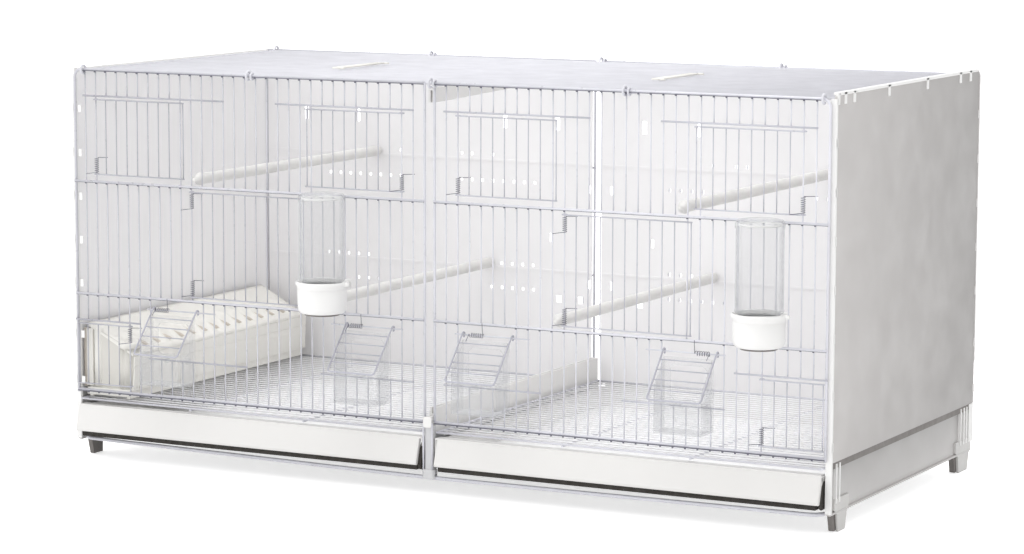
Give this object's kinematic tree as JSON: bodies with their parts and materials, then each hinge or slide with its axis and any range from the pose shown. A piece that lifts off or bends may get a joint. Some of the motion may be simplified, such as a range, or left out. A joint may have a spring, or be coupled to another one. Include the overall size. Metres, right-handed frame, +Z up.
{
  "type": "bird breeding cage",
  "caption": "Wide breeding cage for small birds: wire front with hinged doors, feeder flaps over clear cups, drinkers, perches, a seed trough, pull-out trays and moulded sides.",
  "frame": {"origin": "on the ground, under the middle of the whole cage: midway between the side panels, and midway between the drinkers' front and the side panels' back", "axes": "+X to the right seen from the front, +Y to the back, +Z up; the front doors face -Y"},
  "size_m": [0.9, 0.4772, 0.4375],
  "materials": {
    "white_wire": "satin coating",
    "floor_wire": "satin coating",
    "spring_steel": "bare",
    "white_plastic": "moulded",
    "cream_plastic": "moulded",
    "perch_plastic": "moulded",
    "clear_plastic": "clear"
  },
  "bodies": {
    "cage": {"side_panel_left": "white_plastic", "side_panel_right": "white_plastic", "front_grille_left": "white_wire", "front_grille_right": "white_wire", "back_grille_left": "white_wire", "back_grille_right": "white_wire", "back_panel_left": "white_plastic", "back_panel_right": "white_plastic", "roof_grille": "floor_wire", "foot_bar": "white_wire", "centre_post": "white_plastic", "centre_clip": "white_plastic", "divider_top_guide": "white_plastic", "divider_bottom_guide": "white_plastic", "perch_upper_left": "perch_plastic", "perch_upper_right": "perch_plastic", "perch_lower_left": "perch_plastic", "perch_lower_right": "perch_plastic", "feeder_cup_1": "clear_plastic", "feeder_cup_2": "clear_plastic", "feeder_cup_3": "clear_plastic", "feeder_cup_4": "clear_plastic", "drinker_cup_left": "white_plastic", "drinker_cup_right": "white_plastic", "seed_trough": "cream_plastic", "seed_trough_cover": "cream_plastic", "upper_door_1_spring_low": "spring_steel", "upper_door_2_spring_low": "spring_steel", "main_door_left_spring_low": "spring_steel", "main_door_left_spring_high": "spring_steel", "trough_door_left_spring_high": "spring_steel", "upper_door_3_spring_low": "spring_steel", "upper_door_4_spring_low": "spring_steel", "main_door_right_spring_low": "spring_steel", "main_door_right_spring_high": "spring_steel", "trough_door_right_spring_low": "spring_steel", "feeder_flap_1_spring": "spring_steel", "feeder_flap_2_spring": "spring_steel", "feeder_flap_3_spring": "spring_steel", "feeder_flap_4_spring": "spring_steel"},
    "upper_door_1": {"upper_door_1": "white_wire"},
    "upper_door_2": {"upper_door_2": "white_wire"},
    "main_door_left": {"main_door_left": "white_wire"},
    "trough_door_left": {"trough_door_left": "white_wire"},
    "upper_door_3": {"upper_door_3": "white_wire"},
    "upper_door_4": {"upper_door_4": "white_wire"},
    "main_door_right": {"main_door_right": "white_wire"},
    "trough_door_right": {"trough_door_right": "white_wire"},
    "feeder_flap_1": {"feeder_flap_1": "white_wire"},
    "feeder_flap_2": {"feeder_flap_2": "white_wire"},
    "feeder_flap_3": {"feeder_flap_3": "white_wire"},
    "feeder_flap_4": {"feeder_flap_4": "white_wire"},
    "tray_left": {"tray_left": "white_plastic"},
    "floor_grille_left": {"floor_grille_left": "floor_wire"},
    "drinker_bottle_left": {"drinker_bottle_left": "clear_plastic"},
    "tray_right": {"tray_right": "white_plastic"},
    "floor_grille_right": {"floor_grille_right": "floor_wire"},
    "drinker_bottle_right": {"drinker_bottle_right": "clear_plastic"},
    "carry_handle_left": {"carry_handle_left": "cream_plastic"},
    "carry_handle_right": {"carry_handle_right": "cream_plastic"}
  },
  "joints": [
    {"name": "upper_door_1_hinge", "type": "hinge", "parent": "cage", "child": "upper_door_1", "pos_m": [-0.4169, -0.17785, 0.3581], "axis": [0, 0, -1], "range_deg": [0, 100], "stiffness_Nm_per_rad": 0.02, "springref_deg": -28.65, "deforming": ["upper_door_1_spring_low"]},
    {"name": "upper_door_2_hinge", "type": "hinge", "parent": "cage", "child": "upper_door_2", "pos_m": [-0.0333, -0.17785, 0.3581], "axis": [0, 0, 1], "range_deg": [0, 100], "stiffness_Nm_per_rad": 0.02, "springref_deg": -28.65, "deforming": ["upper_door_2_spring_low"]},
    {"name": "main_door_left_hinge", "type": "hinge", "parent": "cage", "child": "main_door_left", "pos_m": [-0.2936, -0.17785, 0.2464], "axis": [0, 0, -1], "range_deg": [0, 100], "stiffness_Nm_per_rad": 0.02, "springref_deg": -28.65, "deforming": ["main_door_left_spring_low", "main_door_left_spring_high"]},
    {"name": "trough_door_left_hinge", "type": "hinge", "parent": "cage", "child": "trough_door_left", "pos_m": [-0.3758, -0.17785, 0.118], "axis": [0, 0, 1], "range_deg": [0, 100], "stiffness_Nm_per_rad": 0.02, "springref_deg": -28.65, "deforming": ["trough_door_left_spring_high"]},
    {"name": "upper_door_3_hinge", "type": "hinge", "parent": "cage", "child": "upper_door_3", "pos_m": [0.0333, -0.17785, 0.3581], "axis": [0, 0, -1], "range_deg": [0, 100], "stiffness_Nm_per_rad": 0.02, "springref_deg": -28.65, "deforming": ["upper_door_3_spring_low"]},
    {"name": "upper_door_4_hinge", "type": "hinge", "parent": "cage", "child": "upper_door_4", "pos_m": [0.4169, -0.17785, 0.3581], "axis": [0, 0, 1], "range_deg": [0, 100], "stiffness_Nm_per_rad": 0.02, "springref_deg": -28.65, "deforming": ["upper_door_4_spring_low"]},
    {"name": "main_door_right_hinge", "type": "hinge", "parent": "cage", "child": "main_door_right", "pos_m": [0.1566, -0.17785, 0.2464], "axis": [0, 0, -1], "range_deg": [0, 100], "stiffness_Nm_per_rad": 0.02, "springref_deg": -28.65, "deforming": ["main_door_right_spring_low", "main_door_right_spring_high"]},
    {"name": "trough_door_right_hinge", "type": "hinge", "parent": "cage", "child": "trough_door_right", "pos_m": [0.3758, -0.17785, 0.118], "axis": [0, 0, -1], "range_deg": [0, 100], "stiffness_Nm_per_rad": 0.02, "springref_deg": -28.65, "deforming": ["trough_door_right_spring_low"]},
    {"name": "feeder_flap_1_hinge", "type": "hinge", "parent": "cage", "child": "feeder_flap_1", "pos_m": [-0.3147, -0.17945, 0.1725], "axis": [-1, 0, 0], "range_deg": [0, 60], "stiffness_Nm_per_rad": 0.015, "springref_deg": -28.65, "deforming": ["feeder_flap_1_spring"]},
    {"name": "feeder_flap_2_hinge", "type": "hinge", "parent": "cage", "child": "feeder_flap_2", "pos_m": [-0.07111, -0.17945, 0.1725], "axis": [-1, 0, 0], "range_deg": [0, 60], "stiffness_Nm_per_rad": 0.015, "springref_deg": -28.65, "deforming": ["feeder_flap_2_spring"]},
    {"name": "feeder_flap_3_hinge", "type": "hinge", "parent": "cage", "child": "feeder_flap_3", "pos_m": [0.06933, -0.17945, 0.1725], "axis": [-1, 0, 0], "range_deg": [0, 60], "stiffness_Nm_per_rad": 0.015, "springref_deg": -28.65, "deforming": ["feeder_flap_3_spring"]},
    {"name": "feeder_flap_4_hinge", "type": "hinge", "parent": "cage", "child": "feeder_flap_4", "pos_m": [0.29887, -0.17945, 0.1725], "axis": [-1, 0, 0], "range_deg": [0, 60], "stiffness_Nm_per_rad": 0.015, "springref_deg": -28.65, "deforming": ["feeder_flap_4_spring"]},
    {"name": "tray_left_slide", "type": "slide", "parent": "cage", "child": "tray_left", "axis": [0, -1, 0], "range_m": [0, 0.3]},
    {"name": "floor_grille_left_slide", "type": "slide", "parent": "cage", "child": "floor_grille_left", "axis": [0, -1, 0], "range_m": [0, 0.3]},
    {"name": "drinker_bottle_left_lift", "type": "slide", "parent": "cage", "child": "drinker_bottle_left", "axis": [0, 0, 1], "range_m": [0, 0.028]},
    {"name": "tray_right_slide", "type": "slide", "parent": "cage", "child": "tray_right", "axis": [0, -1, 0], "range_m": [0, 0.3]},
    {"name": "floor_grille_right_slide", "type": "slide", "parent": "cage", "child": "floor_grille_right", "axis": [0, -1, 0], "range_m": [0, 0.3]},
    {"name": "drinker_bottle_right_lift", "type": "slide", "parent": "cage", "child": "drinker_bottle_right", "axis": [0, 0, 1], "range_m": [0, 0.028]},
    {"name": "carry_handle_left_hinge", "type": "hinge", "parent": "cage", "child": "carry_handle_left", "pos_m": [-0.177, -0.01895, 0.4335], "axis": [0, 1, 0], "range_deg": [0, 120]},
    {"name": "carry_handle_right_hinge", "type": "hinge", "parent": "cage", "child": "carry_handle_right", "pos_m": [0.202, -0.00525, 0.4335], "axis": [0, 1, 0], "range_deg": [0, 120]}
  ]
}
